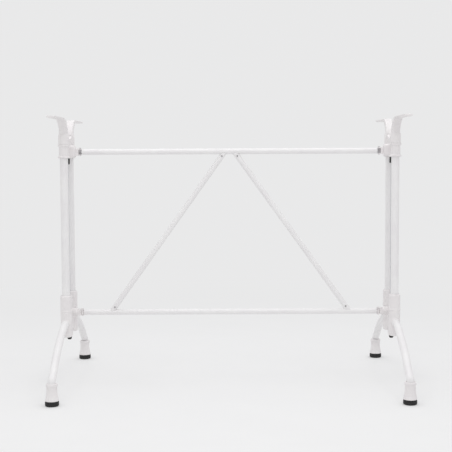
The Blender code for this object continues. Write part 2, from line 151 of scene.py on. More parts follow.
# %% Powder coat
def powder_coat(name, light, shade, peel_mm, peel_depth, roughness, grain_depth):
    """Baked white powder coat with orange peel, dull patches and a fine grain."""
    material, output = start_material(name)
    place = add_node(material, "ShaderNodeTexCoord")
    patches = add_node(material, "ShaderNodeTexNoise", {"Scale": 1 / (55 * MM), "Detail": 4.0,
                       "Roughness": 0.6}, {"Vector": (place, "Object")})
    film = add_node(material, "ShaderNodeValToRGB", {}, {"Fac": (patches, "Fac")})
    film.color_ramp.elements[0].position = 0.35
    film.color_ramp.elements[0].color = colour(shade)
    film.color_ramp.elements[1].position = 0.62
    film.color_ramp.elements[1].color = colour(light)
    dull = add_node(material, "ShaderNodeMapRange", {"From Min": 0.3, "From Max": 0.7,
                    "To Min": roughness - 0.05, "To Max": roughness + 0.07}, {"Value": (patches, "Fac")})
    peel = add_node(material, "ShaderNodeTexNoise", {"Scale": 1 / (peel_mm * MM), "Detail": 1.5},
                    {"Vector": (place, "Object")})
    grain = add_node(material, "ShaderNodeTexNoise", {"Scale": 1 / (0.6 * MM), "Detail": 2.0},
                     {"Vector": (place, "Object")})
    fine = add_node(material, "ShaderNodeBump", {"Strength": 0.5, "Distance": grain_depth * MM},
                    {"Height": (grain, "Fac")})
    ripple = add_node(material, "ShaderNodeBump", {"Strength": 0.6, "Distance": peel_depth * MM},
                      {"Height": (peel, "Fac"), "Normal": (fine, "Normal")})
    shader = add_node(material, "ShaderNodeBsdfPrincipled",
                      {"Metallic": 0.0, "IOR": 1.5, "Coat Weight": 0.10, "Coat Roughness": 0.30},
                      {"Base Color": (film, "Color"), "Roughness": (dull, "Result"),
                       "Normal": (ripple, "Normal")})
    return finish_material(material, output, shader)


tube_coat = powder_coat("powder_coated_steel_tube", "#ECEBEB", "#E8E6E7", 2.6, 0.035, 0.42, 0.004)

# %% [markdown]
# ## Powder coat on a casting
# The heads, hubs, arms and foot sockets are cast. The mould leaves a soft, slightly sandy skin, and the
# powder follows it, so the peel is deeper and the surface a little duller and warmer than on drawn tube.

# %% Powder coat over cast metal
cast_coat = powder_coat("powder_coated_cast_aluminium", "#EAE7E7", "#E5E1E2", 3.4, 0.060, 0.48, 0.010)


# %% [markdown]
# ## Bare metals
# The upper rod ends and pins are steel with a grey phosphate finish, the screws are dull zinc, and the
# threaded parts are bright zinc. The bath greys the metal but leaves it reflecting light like metal, so it
# is metallic, and brightest where it was rubbed. The rubbed streaks follow the turning marks, 1.5 mm apart.


# %% Phosphated steel and zinc plate
def worked_metal(name, dark, bright, streak_mm, roughness, worn):
    """Metal with turning streaks and rubbed patches."""
    material, output = start_material(name)
    place = add_node(material, "ShaderNodeTexCoord")
    stretch = add_node(material, "ShaderNodeMapping", {"Scale": (1.0, 1.0, 5.0)},
                       {"Vector": (place, "Object")})
    streaks = add_node(material, "ShaderNodeTexNoise", {"Scale": 1 / (streak_mm * MM), "Detail": 3.0},
                       {"Vector": (stretch, "Vector")})
    rubbed = add_node(material, "ShaderNodeTexNoise", {"Scale": 1 / (7 * MM), "Detail": 5.0},
                      {"Vector": (place, "Object")})
    tone = add_node(material, "ShaderNodeValToRGB", {}, {"Fac": (rubbed, "Fac")})
    tone.color_ramp.elements[0].position = 0.5 - worn
    tone.color_ramp.elements[0].color = colour(dark)
    tone.color_ramp.elements[1].position = 0.75
    tone.color_ramp.elements[1].color = colour(bright)
    polish = add_node(material, "ShaderNodeMapRange",
                      {"To Min": roughness - 0.08, "To Max": roughness + 0.12}, {"Value": (streaks, "Fac")})
    marks = add_node(material, "ShaderNodeBump", {"Strength": 0.35, "Distance": 0.04 * MM},
                     {"Height": (streaks, "Fac")})
    shader = add_node(material, "ShaderNodeBsdfPrincipled", {"Metallic": 1.0},
                      {"Base Color": (tone, "Color"), "Roughness": (polish, "Result"),
                       "Normal": (marks, "Normal")})
    return finish_material(material, output, shader)


grey_phosphate = worked_metal("grey_phosphated_steel", "#B2B0B2", "#CDCBCD", 1.5, 0.50, 0.1)
screw_steel = worked_metal("dull_zinc_screw_steel", "#A9A7A8", "#CBC9CA", 1.2, 0.45, 0.1)
zinc_plate = worked_metal("zinc_plated_steel", "#A9ADB2", "#C9CCD0", 1.5, 0.34, 0.15)

# %% [markdown]
# ## Black rubber and nylon
# The pads under the feet are moulded rubber: matt, with a fine spark-eroded grain from the mould, and grey
# scuffs where they meet the floor. The nuts are black nylon, smoother and with a soft gloss.
# The real grain is about 0.1 mm and would vanish, so it is drawn at 0.8 mm.


# %% Moulded black plastics
def moulded_black(name, deep, scuffed, grain_mm, roughness, ior):
    """Dark moulded rubber or plastic with mould grain and pale scuffs."""
    material, output = start_material(name)
    place = add_node(material, "ShaderNodeTexCoord")
    grain = add_node(material, "ShaderNodeTexVoronoi", {"Scale": 1 / (grain_mm * MM)},
                     {"Vector": (place, "Object")})
    scuffs = add_node(material, "ShaderNodeTexNoise",
                      {"Scale": 1 / (6 * MM), "Detail": 6.0, "Roughness": 0.7}, {"Vector": (place, "Object")})
    tone = add_node(material, "ShaderNodeValToRGB", {}, {"Fac": (scuffs, "Fac")})
    tone.color_ramp.elements[0].position = 0.52
    tone.color_ramp.elements[0].color = colour(deep)
    tone.color_ramp.elements[1].position = 0.80
    tone.color_ramp.elements[1].color = colour(scuffed)
    dull = add_node(material, "ShaderNodeMapRange",
                    {"To Min": roughness - 0.06, "To Max": roughness + 0.14}, {"Value": (scuffs, "Fac")})
    pits = add_node(material, "ShaderNodeBump", {"Strength": 0.4, "Distance": 0.08 * MM},
                    {"Height": (grain, "Distance")})
    shader = add_node(material, "ShaderNodeBsdfPrincipled", {"Metallic": 0.0, "IOR": ior},
                      {"Base Color": (tone, "Color"), "Roughness": (dull, "Result"),
                       "Normal": (pits, "Normal")})
    return finish_material(material, output, shader)


pad_rubber = moulded_black("moulded_black_rubber", "#101011", "#2C2C2D", 0.8, 0.58, 1.52)
cap_nylon = moulded_black("moulded_black_nylon", "#0E0E0F", "#242425", 1.0, 0.38, 1.53)

# %% [markdown]
# ## Shapes from rings
# Tube, turned pieces and swept castings are all a row of rings with a skin between them. One function
# skins the rings. A profile for a turned piece gets its corners rounded first, because a coated or moulded
# edge is never sharp, and the rounding is what catches the light.


# %% Skin and profile helpers
def skin(rings, ring_closed=False):
    """Mesh from equal rings. The row closes on itself when ring_closed, or gets two caps."""
    body = bmesh.new()
    rows = [[body.verts.new(point) for point in ring] for ring in rings]
    count = len(rows[0])
    pairs = list(zip(rows, rows[1:])) + ([(rows[-1], rows[0])] if ring_closed else [])
    for low, high in pairs:
        for i in range(count):
            j = (i + 1) % count
            body.faces.new((low[i], low[j], high[j], high[i]))
    if not ring_closed:
        body.faces.new(list(reversed(rows[0])))
        body.faces.new(rows[-1])
    bmesh.ops.recalc_face_normals(body, faces=body.faces)
    return body


def rounded(profile, radius, steps=4, closed=False):
    """Replace each corner of a flat outline by a small arc of at most that radius."""
    result = []
    last = len(profile) - 1
    for i, point in enumerate(profile):
        if not closed and i in (0, last):
            result.append(Vector(point))
            continue
        here = Vector(point)
        before = Vector(profile[i - 1]) - here
        after = Vector(profile[(i + 1) % len(profile)]) - here
        reach = min(radius, before.length * 0.45, after.length * 0.45)
        start, end = here + before.normalized() * reach, here + after.normalized() * reach
        for k in range(steps + 1):
            t = k / steps
            result.append(start * (1 - t) ** 2 + here * 2 * t * (1 - t) + end * t ** 2)
    return [tuple(p) for p in result]


def shortened(profile, closed, longest=0.025):
    """Add points so that no stretch of a profile is longer than the longest allowed."""
    result = []
    for i, point in enumerate(profile):
        result.append(point)
        if i + 1 < len(profile) or closed:
            here, there = Vector(point), Vector(profile[(i + 1) % len(profile)])
            parts = math.ceil((there - here).length / longest)
            result += [tuple(here.lerp(there, k / parts)) for k in range(1, parts)]
    return result


def turn(profile, centre=(0.0, 0.0, 0.0), axis=(0.0, 0.0, 1.0), steps=64, hollow=False):
    """Turn a profile of (radius, height) about an axis that starts at the centre."""
    profile = shortened(profile, hollow)
    rings = []
    for radius, height in profile:
        angles = (2 * math.pi * (i + 0.5) / steps for i in range(steps))
        rings.append([(radius * math.cos(a), radius * math.sin(a), height) for a in angles])
    body = skin(rings, hollow)
    lean = Vector((0.0, 0.0, 1.0)).rotation_difference(Vector(axis)).to_matrix().to_4x4()
    bmesh.ops.transform(body, matrix=Matrix.Translation(centre) @ lean, verts=body.verts)
    bmesh.ops.recalc_face_normals(body, faces=body.faces)
    return body


def arm_section(width, thickness, radius, per_corner=6):
    """Rounded rectangle as (across, up) points."""
    radius = min(radius, width / 2 - 0.1 * MM, thickness / 2 - 0.1 * MM)
    points = []
    for corner, (sx, sy) in enumerate(((1, 1), (-1, 1), (-1, -1), (1, -1))):
        for i in range(per_corner):
            angle = math.radians(90.0 * corner + 90.0 * i / (per_corner - 1))
            points.append((sx * (width / 2 - radius) + radius * math.cos(angle),
                           sy * (thickness / 2 - radius) + radius * math.sin(angle)))
    return points


print("a square corner becomes", len(rounded([(0, 0), (1, 0), (1, 1)], 0.1)), "points")


# %% [markdown]
# ## From mesh to finished piece
# A piece needs a name, a finish, smooth shading with its real creases kept, and a place in the machine:
# which CAD body carries it when a joint moves, and which CAD solids it stands for.


# %% Finish a piece
def finish_piece(name, body, finish, carrier, stands_for, crease=38.0, flat=False):
    """Store a mesh as a piece, shade it, and tie it to the frame."""
    mesh = bpy.data.meshes.new(name)
    body.to_mesh(mesh)
    body.free()
    mesh.materials.append(finish)
    mesh.shade_smooth()
    mesh.set_sharp_from_angle(angle=math.radians(crease))
    piece = bpy.data.objects.new(name, mesh)
    if flat:
        piece.modifiers.new("flat_faces", "WEIGHTED_NORMAL").keep_sharp = True
    bpy.context.scene.collection.objects.link(piece)
    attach(piece, carrier)
    if stands_for:
        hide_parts(*stands_for)
    return piece


# %% [markdown]
# ## Column tubes
# Each pedestal has two straight tubes, 22 mm across, side by side from front to rear. The pair resists
# twist better than one thick tube. They are drawn tube, so a turned ring with a bore is the whole shape.
# Head and hub hide their ends.

# %% Columns
for side, end in SIDES:
    for facing, where in FACINGS:
        node = f"column_{where}_{end}"
        low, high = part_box(node)
        bore = 9.5 * MM
        ring = [(COLUMN_R, low[2]), (COLUMN_R, high[2]), (bore, high[2]), (bore, low[2])]
        centre = (side * COLUMN_X, facing * COLUMN_Y, 0.0)
        tube = turn(rounded(ring, 0.4 * MM, closed=True), centre, hollow=True)
        finish_piece("column_tube_" + where + "_" + end, tube, tube_coat, "end_" + end, [node])
print("column tube length, mm:", round((high[2] - low[2]) / MM))

# %% [markdown]
# ## Cross rods
# Two 16 mm tubes run between the pedestals. Their ends are cut square and dressed, and the rod ends plug
# into them. A long thin tube shows every ripple, so it gets plenty of points round it.

# %% Upper and lower cross rods
for level, rod_z in (("upper", UPPER_ROD_Z), ("lower", LOWER_ROD_Z)):
    bore = 5.8 * MM
    ring = [(ROD_R, 0.0), (ROD_R, 2 * ROD_END), (bore, 2 * ROD_END), (bore, 0.0)]
    tube = turn(rounded(ring, 0.8 * MM, closed=True), (-ROD_END, 0.0, rod_z), (1.0, 0.0, 0.0), 48, True)
    finish_piece("cross_tube_" + level, tube, tube_coat, "truss", [level + "_rod"])
print("cross rod length, mm:", round(2 * ROD_END / MM))

# %% [markdown]
# ## Braces
# Two thinner tubes make an upside-down V that keeps the truss square. A brace meets each rod at a slant, so
# its end is coped: hollowed to the curve of the rod. Each point of an end ring slides along the brace until
# it is a hair, 0.3 mm, from the rod. Rings between the ends let the long tube shade evenly.


# %% Coped brace
BRACE_FOOT = (0.326, 0.199)
BRACE_TOP = (0.018, 0.629)
BRACE_PARTS = 24


def coped_brace(side, steps=48):
    """Brace from the lower rod up to the middle of the upper rod."""
    foot, top = (Vector((side * x, 0.0, z)) for x, z in (BRACE_FOOT, BRACE_TOP))
    along = (top - foot).normalized()
    across = Vector((-along.z, 0.0, along.x))
    reach = ROD_R + 0.3 * MM
    body, rows = bmesh.new(), []
    for centre, rod_z, up in ((foot, LOWER_ROD_Z, 1.0), (top, UPPER_ROD_Z, -1.0)):
        row = []
        for i in range(steps):
            angle = 2 * math.pi * i / steps
            y = BRACE_R * math.sin(angle)
            point = centre + across * (BRACE_R * math.cos(angle))
            end_z = rod_z + up * math.sqrt(reach ** 2 - y ** 2)
            point += along * ((end_z - point.z) / along.z)
            row.append(body.verts.new((point.x, y, end_z)))
        rows.append(row)
    chain = [rows[0]]
    for k in range(1, BRACE_PARTS):
        chain.append([body.verts.new(a.co.lerp(b.co, k / BRACE_PARTS)) for a, b in zip(*rows)])
    chain.append(rows[1])
    for low_ring, high_ring in zip(chain, chain[1:]):
        for i in range(steps):
            j = (i + 1) % steps
            body.faces.new((low_ring[i], low_ring[j], high_ring[j], high_ring[i]))
    for row in rows:
        for i in range(-steps // 4, steps // 4):
            corners = [row[k % steps] for k in (i, i + 1, steps // 2 - i - 1, steps // 2 - i)]
            body.faces.new(list(dict.fromkeys(corners)))
    bmesh.ops.recalc_face_normals(body, faces=body.faces)
    return body, foot, top, along


for side, end in SIDES:
    body, foot, top, along = coped_brace(side)
    finish_piece("brace_tube_" + end, body, tube_coat, "truss", ["brace_" + end])
    for level, point in (("upper", top - along * 6 * MM), ("lower", foot + along * 8 * MM)):
        head = [(2.4 * MM, 0.0), (2.4 * MM, 0.8 * MM), (1.8 * MM, 1.5 * MM), (1.0 * MM, 1.5 * MM),
                (0.9 * MM, 0.8 * MM), (0.2 * MM, 0.7 * MM)]
        screw = turn(rounded(head, 0.4 * MM), (point.x, -7.8 * MM, point.z), (0.0, -1.0, 0.0), 24)
        finish_piece(f"brace_screw_head_{level}_{end}", screw, screw_steel, "truss",
                     [f"brace_screw_{level}_{end}"])
print("brace length, mm:", round((top - foot).length / MM))

# %% [markdown]
# ## Rod ends and hinge pins
# An eye is plugged into each end of each rod, and stands between the two lugs of a casting. A vertical pin
# holds it there, so the whole pedestal can swing like a gate. The eye is a short barrel with a neck. The
# upper eyes and pins are grey, and the lower ones are coated white with the frame.


# %% Join and cut
def combine(first, adds=(), cuts=()):
    """Join meshes to the first one and cut others away, with exact Booleans."""
    def scratch(body):
        mesh = bpy.data.meshes.new("scratch")
        body.to_mesh(mesh)
        body.free()
        item = bpy.data.objects.new("scratch", mesh)
        bpy.context.scene.collection.objects.link(item)
        return item

    target, tools = scratch(first), []
    for operation, group in (("UNION", adds), ("DIFFERENCE", cuts)):
        for body in group:
            tools.append(scratch(body))
            step = target.modifiers.new("shape", "BOOLEAN")
            step.solver = "EXACT"
            step.operation = operation
            step.object = tools[-1]
    graph = bpy.context.evaluated_depsgraph_get()
    mesh = bpy.data.meshes.new_from_object(target.evaluated_get(graph))
    result = bmesh.new()
    result.from_mesh(mesh)
    for item in tools + [target]:
        bpy.data.objects.remove(item, do_unlink=True)
    return result


def box_body(low, high):
    """Closed box between two corners."""
    body = bmesh.new()
    bmesh.ops.create_cube(body, size=1.0)
    middle = [(a + b) / 2 for a, b in zip(low, high)]
    size = [abs(b - a) for a, b in zip(low, high)]
    matrix = Matrix.Translation(middle) @ Matrix.Diagonal((*size, 1.0))
    bmesh.ops.transform(body, matrix=matrix, verts=body.verts)
    return body


# %% Eyes and pins
for side, end in SIDES:
    for level, rod_z in (("upper", UPPER_ROD_Z), ("lower", LOWER_ROD_Z)):
        on_pin, inward = (side * PIN_X, 0.0, rod_z), (-side, 0.0, 0.0)
        barrel = [(0.2 * MM, -6.5 * MM), (3.8 * MM, -6.5 * MM), (3.8 * MM, 6.5 * MM), (0.2 * MM, 6.5 * MM)]
        eye = turn(rounded(barrel, 0.5 * MM), on_pin, steps=40)
        neck_start = (side * (PIN_X - 0.5 * MM), 0.0, rod_z)
        neck = turn(((2.9 * MM, 0.0), (2.9 * MM, 5.0 * MM)), neck_start, inward, 32)
        plug_start = (side * (ROD_END - 0.3 * MM), 0.0, rod_z)
        plug = [(0.2 * MM, 0.0), (5.5 * MM, 0.0), (5.5 * MM, 15 * MM), (0.2 * MM, 15 * MM)]
        plug = turn(rounded(plug, 0.5 * MM), plug_start, inward, 32)
        hole = turn(((PIN_HOLE_R, -9 * MM), (PIN_HOLE_R, 9 * MM)), on_pin, steps=24)
        eye = combine(eye, (neck, plug), (hole,))
        finish = grey_phosphate if level == "upper" else cast_coat
        finish_piece(f"rod_end_eye_{level}_{end}", eye, finish, "truss", [f"rod_eye_{level}_{end}"])
        shaft = [(0.2 * MM, -10.8 * MM), (1.9 * MM, -10.8 * MM), (1.9 * MM, 10.1 * MM),
                 (3.3 * MM, 10.1 * MM), (3.2 * MM, 11.2 * MM), (0.4 * MM, 11.6 * MM)]
        pin = turn(rounded(shaft, 0.4 * MM), on_pin, steps=24)
        finish_piece(f"pin_{level}_{end}", pin, finish, "end_" + end, [f"hinge_pin_{level}_{end}"])
print("pins per pedestal: 2")

# %% [markdown]
# ## Cast heads and hubs
# The head clamps both column tubes and carries the arms. The hub does the same for the legs. They are
# castings, so every inside corner is filled with a fillet that lets the metal flow. Solids are joined with
# Booleans, rebuilt as one skin of 0.8 mm cells, and relaxed. Relaxing rounds the corners like a mould does.

# %% Cast skin
CELL = 0.8 * MM
COLUMN_BORE_R = COLUMN_R + 0.3 * MM
TIE_BORE_R = TIE_ROD_R + 0.3 * MM
CASTING_END_Y = 46 * MM
LUG_R = 3.9 * MM
LUG_ROOT_X = 0.4290
LUG_HALF = 9.8 * MM
SLOT_HALF = 6.8 * MM
HEAD_WEB_HALF = 9 * MM
HUB_WEB_HALF = 7 * MM


def cast_skin(body, rounds):
    """Rebuild a joined solid as one even skin and relax it, so its corners become fillets."""
    mesh = bpy.data.meshes.new("scratch")
    body.to_mesh(mesh)
    body.free()
    item = bpy.data.objects.new("scratch", mesh)
    bpy.context.scene.collection.objects.link(item)
    remesh = item.modifiers.new("skin", "REMESH")
    remesh.mode = "VOXEL"
    remesh.voxel_size = CELL
    relax = item.modifiers.new("relax", "SMOOTH")
    relax.factor = 0.5
    relax.iterations = rounds
    graph = bpy.context.evaluated_depsgraph_get()
    result = bmesh.new()
    result.from_mesh(bpy.data.meshes.new_from_object(item.evaluated_get(graph)))
    bpy.data.objects.remove(item, do_unlink=True)
    return result


def prism(outline, x_low, x_high):
    """Solid along X from an outline of (y, z) points."""
    return skin([[(x, y, z) for y, z in outline] for x in (x_low, x_high)])


def fork_parts(side, z):
    """Two lugs in one solid, and the slot and pin hole that are cut from it."""
    outline = [(side * LUG_ROOT_X, LUG_R), (side * LUG_ROOT_X, -LUG_R)]
    for i in range(17):
        angle = math.radians(-90.0 + 180.0 * i / 16)
        outline.append((side * (PIN_X - LUG_R * math.cos(angle)), LUG_R * math.sin(angle)))
    solid = skin([[(x, y, z + h) for x, y in outline] for h in (-LUG_HALF, LUG_HALF)])
    ends = sorted((side * (PIN_X - 6 * MM), side * (PIN_X + 4.3 * MM)))
    slot = box_body((ends[0], -6 * MM, z - SLOT_HALF), (ends[1], 6 * MM, z + SLOT_HALF))
    hole = turn(((PIN_HOLE_R, -12 * MM), (PIN_HOLE_R, 12 * MM)), (side * PIN_X, 0.0, z), steps=24)
    return solid, slot, hole


print("cells across the web of a head:", round(2 * HEAD_WEB_HALF / CELL))


# %% [markdown]
# ### The head
# Two flanged sleeves like cotton reels sit on the column tubes. A web joins them, and its top dips in a
# shallow saddle between the two arms. A boss on the inner face grows into the fork for the rod end.


# %% Head castings
# distance from the middle, half width, half height, corner radius: all in mm
HEAD_BOSS = ((424.5, 9.5, 13.0, 6.0), (427.5, 13.0, 16.5, 7.0), (442.5, 16.5, 17.6, 7.0))
HEAD_BOSS_Z = 0.6385


def head_body(side):
    """Joined solid of one head."""
    x = side * COLUMN_X
    reel = [(15.2 * MM, 0.6200), (16.2 * MM, 0.6206), (16.2 * MM, 0.6240), (13.2 * MM, 0.6254),
            (13.2 * MM, 0.6508), (16.2 * MM, 0.6524), (16.2 * MM, 0.6564), (15.2 * MM, 0.6570)]
    sleeves = [turn(rounded(reel, 0.6 * MM), (x, y, 0.0)) for y in (-COLUMN_Y, COLUMN_Y)]
    inner = 35.2 * MM
    outline = [(-CASTING_END_Y, 0.6222), (CASTING_END_Y, 0.6222), (CASTING_END_Y, 0.6550), (inner, 0.6550)]
    for i in range(25):
        angle = math.pi * i / 24
        outline.append((inner * math.cos(angle), 0.6840 - 10.5 * MM * math.sin(angle) ** 0.7))
    outline += [(-inner, 0.6550), (-CASTING_END_Y, 0.6550)]
    web = prism(outline, x - HEAD_WEB_HALF, x + HEAD_WEB_HALF)
    core = turn(((13.5 * MM, 0.6212), (13.5 * MM, 0.6540)), (x, 0.0, 0.0), steps=48)
    fork, slot, hole = fork_parts(side, UPPER_ROD_Z)
    rings = []
    for x_boss, half_y, half_z, radius in HEAD_BOSS:
        rings.append([(side * x_boss * MM, across, HEAD_BOSS_Z + up)
                      for across, up in arm_section(2 * half_y * MM, 2 * half_z * MM, radius * MM)])
    boss = skin(rings)
    bore = ((COLUMN_BORE_R, 0.61), (COLUMN_BORE_R, 0.6503))
    cuts = [turn(bore, (x, y, 0.0)) for y in (-COLUMN_Y, COLUMN_Y)]
    cuts.append(turn(((TIE_BORE_R, 0.61), (TIE_BORE_R, 0.6503)), (x, 0.0, 0.0), steps=24))
    return combine(sleeves[0], [sleeves[1], web, core, boss, fork], cuts + [slot, hole])


for side, end in SIDES:
    head = cast_skin(head_body(side), 3)
    print("head skin cells:", len(head.faces))
    finish_piece("cast_head_" + end, head, cast_coat, "end_" + end, ["head_casting_" + end],
                 60.0)


# %% [markdown]
# ### The hub
# The lower casting holds the same two tubes. Each sleeve has a raised collar and an elbow, made of a stub
# and an upright knuckle, that a leg plugs into. A barrel in the middle takes the tie rod that draws the
# pedestal together.


# %% Hub castings
LEG_START_Z = 0.168


def hub_body(side):
    """Joined solid of one hub."""
    x = side * COLUMN_X
    sleeve = [(12.8 * MM, 0.1300), (15.8 * MM, 0.1328), (15.8 * MM, 0.2003), (17.0 * MM, 0.2009),
              (17.0 * MM, 0.2029), (15.8 * MM, 0.2035), (15.8 * MM, 0.2425), (13.8 * MM, 0.2450)]
    sleeves = [turn(rounded(sleeve, 0.8 * MM), (x, y, 0.0)) for y in (-COLUMN_Y, COLUMN_Y)]
    outline = []
    for i in range(25):
        y = -CASTING_END_Y + 2 * CASTING_END_Y * i / 24
        outline.append((y, 0.1350 + 10 * MM * math.cos(math.pi * y / (2 * CASTING_END_Y))))
    outline += [(CASTING_END_Y, 0.2180), (30 * MM, 0.2240), (-30 * MM, 0.2240), (-CASTING_END_Y, 0.2180)]
    web = prism(outline, x - HUB_WEB_HALF, x + HUB_WEB_HALF)
    barrel = turn(((9.5 * MM, 0.1270), (9.5 * MM, 0.2035)), (x, 0.0, 0.0), steps=48)
    stubs = []
    for facing, _ in FACINGS:
        shape = rounded([(11.8 * MM, 0.0), (11.8 * MM, 16.5 * MM), (10.7 * MM, 18.7 * MM)], 1.0 * MM)
        stubs.append(turn(shape, (x, facing * COLUMN_Y, LEG_START_Z), (0.0, facing, 0.0), 48))
        knuckle = rounded([(10 * MM, 0.1620), (10 * MM, 0.1985), (1 * MM, 0.1985)], 2.5 * MM)
        stubs.append(turn(knuckle, (x, facing * 57.5 * MM, 0.0), steps=48))
    fork, slot, hole = fork_parts(side, LOWER_ROD_Z)
    boss = turn(rounded([(9.5 * MM, 0.0), (11.5 * MM, 0.0), (11.5 * MM, 20 * MM)], 1.5 * MM),
                (side * 0.4245, 0.0, LOWER_ROD_Z), (side, 0.0, 0.0), 48)
    bore = ((COLUMN_BORE_R, 0.1347), (COLUMN_BORE_R, 0.26))
    cuts = [turn(bore, (x, y, 0.0)) for y in (-COLUMN_Y, COLUMN_Y)]
    cuts.append(turn(((TIE_BORE_R, 0.11), (TIE_BORE_R, 0.25)), (x, 0.0, 0.0), steps=24))
    return combine(sleeves[0], [sleeves[1], web, barrel, boss, fork] + stubs, cuts + [slot, hole])


for side, end in SIDES:
    hub = cast_skin(hub_body(side), 3)
    print("hub skin cells:", len(hub.faces))
    finish_piece("cast_hub_" + end, hub, cast_coat, "end_" + end, ["hub_casting_" + end],
                 60.0)


# %% [markdown]
# ## Swept pieces
# The arms and legs follow a curve in the plane from front to rear. A few stations are given, and a
# Catmull-Rom curve runs smoothly through them, as a thin strip of spring steel would.


# %% Smooth line through stations
def smooth_stations(stations, between):
    """Extra stations on a Catmull-Rom curve through the given ones."""
    points = [Vector(s) for s in stations]
    result = []
    for i in range(len(points) - 1):
        p0 = points[max(i - 1, 0)]
        p1, p2 = points[i], points[i + 1]
        p3 = points[min(i + 2, len(points) - 1)]
        m1 = (p2 - p0) * 0.5
        m2 = (p3 - p1) * 0.5
        for k in range(between):
            t = k / between
            a, b = 2 * t ** 3 - 3 * t ** 2 + 1, t ** 3 - 2 * t ** 2 + t
            c, d = -2 * t ** 3 + 3 * t ** 2, t ** 3 - t ** 2
            result.append(p1 * a + m1 * b + p2 * c + m2 * d)
    return result + [points[-1]]


def headings(line):
    """Unit direction along a line of (y, z, ...) stations."""
    result = []
    for i in range(len(line)):
        a, b = line[max(i - 1, 0)], line[min(i + 1, len(line) - 1)]
        result.append(Vector((b[0] - a[0], b[1] - a[1])).normalized())
    return result


# %% [markdown]
# ### Horn arms
# Each arm grows from a round root on its sleeve, thins like a horn as it sweeps out, and ends in a flat tab
# that the table top is screwed to. Casting the tab thin saves metal; the deep root takes the bending.

# %% Arms
# distance from the middle, height, width, thickness, corner radius: all in mm
ARM_LINE = ((50.0, 657.3, 29.0, 29.0, 14.0), (50.0, 668.0, 29.0, 29.0, 14.0), (50.0, 678.0, 29.0, 29.0, 14.0),
            (50.0, 682.5, 27.5, 28.5, 12.5), (50.3, 686.5, 24.0, 25.5, 8.5), (52.5, 693.5, 22.5, 22.2, 5.5),
            (58.2, 702.5, 22.0, 19.0, 4.2), (67.5, 711.3, 22.0, 16.8, 3.6), (79.5, 718.5, 22.0, 15.0, 3.2),
            (90.0, 722.0, 22.0, 11.5, 2.6), (99.0, 724.7, 22.0, 6.4, 1.6), (112.0, 725.5, 22.0, 5.0, 1.2),
            (145.0, 725.5, 22.0, 5.0, 1.2), (180.0, 725.5, 22.0, 5.0, 1.2), (215.0, 725.5, 22.0, 5.0, 1.2),
            (245.0, 725.5, 22.0, 5.0, 1.2), (249.0, 725.5, 20.0, 4.8, 1.2), (250.0, 725.5, 17.0, 4.0, 1.2))
# below this height the root rises straight, and beyond this distance the tab lies level
ROOT_TOP = 0.6785
TAB_START = 0.1119


def horn_arm(side, facing):
    """One arm as a skin over smoothed sections."""
    line = [s * MM for s in smooth_stations(ARM_LINE, 6)]
    rings = []
    for station, heading in zip(line, headings(line)):
        y, z, width, thickness, radius = station
        if z < ROOT_TOP:
            heading = Vector((0.0, 1.0))
        if y > TAB_START:
            heading = Vector((1.0, 0.0))
        ring = []
        for across, up in arm_section(width, thickness, radius):
            height = min(z + heading.x * up, TAB_TOP)
            ring.append((side * COLUMN_X + across, facing * (y - heading.y * up), height))
        rings.append(ring)
    return skin(rings)


for side, end in SIDES:
    for facing, where in FACINGS:
        finish_piece(f"horn_arm_{where}_{end}", horn_arm(side, facing), cast_coat, "end_" + end,
                     [f"arm_{where}_{end}"], 50.0, True)
print("arm reach from the middle, mm:", ARM_LINE[-1][0])

# %% [markdown]
# ### Legs
# A leg is 20 mm tube, bent cold over a mandrel: out of the hub stub, along a falling slope and upright into
# the foot socket. The tube stays round through the bends.

# %% Legs
# distance from the middle and height, in mm; the last stretch is upright
LEG_LINE = ((69.0, 168.0), (88.0, 166.8), (108.0, 162.2), (130.0, 154.5), (165.0, 140.5), (200.0, 124.5),
            (235.0, 105.5), (262.0, 87.0), (280.0, 75.0), (291.5, 68.0), (298.0, 64.0), (300.0, 60.5),
            (300.0, 46.0), (300.0, 32.2))
UPRIGHT_TOP = 0.058


def leg_tube(side, facing, steps=48):
    """One bent leg."""
    line = [s * MM for s in smooth_stations(LEG_LINE, 5)]
    rings = []
    for index, ((y, z), heading) in enumerate(zip(line, headings(line))):
        if index == 0:
            heading = Vector((1.0, 0.0))
        if z < UPRIGHT_TOP:
            y, heading = FOOT_Y, Vector((0.0, -1.0))
        ring = []
        for i in range(steps):
            angle = 2 * math.pi * (i + 0.5) / steps
            across, up = LEG_R * math.cos(angle), LEG_R * math.sin(angle)
            ring.append((side * COLUMN_X + across, facing * (y - heading.y * up), z + heading.x * up))
        rings.append(ring)
    return skin(rings)


for side, end in SIDES:
    for facing, where in FACINGS:
        finish_piece(f"bent_leg_{where}_{end}", leg_tube(side, facing), tube_coat, "end_" + end,
                     [f"leg_{where}_{end}"])
print("leg stations:", len(LEG_LINE))

# %% [markdown]
# ## Feet
# A flared cast socket closes each leg. A threaded stem screws up into it, moulded into a black rubber pad.
# Turning the pad levels the table. The socket and pad are turned shapes with soft edges.

# %% Sockets, pads and stems
# radius and height, in mm
SOCKET = ((17.7, 13.0), (17.7, 15.5), (16.2, 20.0), (14.5, 27.0), (13.5, 36.0), (13.5, 49.0), (15.0, 50.2),
          (15.0, 55.6), (13.8, 57.0), (10.4, 57.0), (10.4, 31.7), (4.4, 31.7), (4.4, 13.0))
PAD = ((0.5, 0.4), (15.0, 0.0), (17.2, 1.2), (17.7, 3.8), (17.7, 6.6), (17.2, 7.0), (17.2, 7.6), (17.7, 8.0),
       (17.7, 10.0), (16.8, 12.5), (0.5, 12.5))
STEM_FOOT = 12.8
STEM_TOP = 30.4
THREAD_PITCH = 1.25
THREAD_TURNS = 14
CREST_R, GROOVE_R = 4.0, 3.3


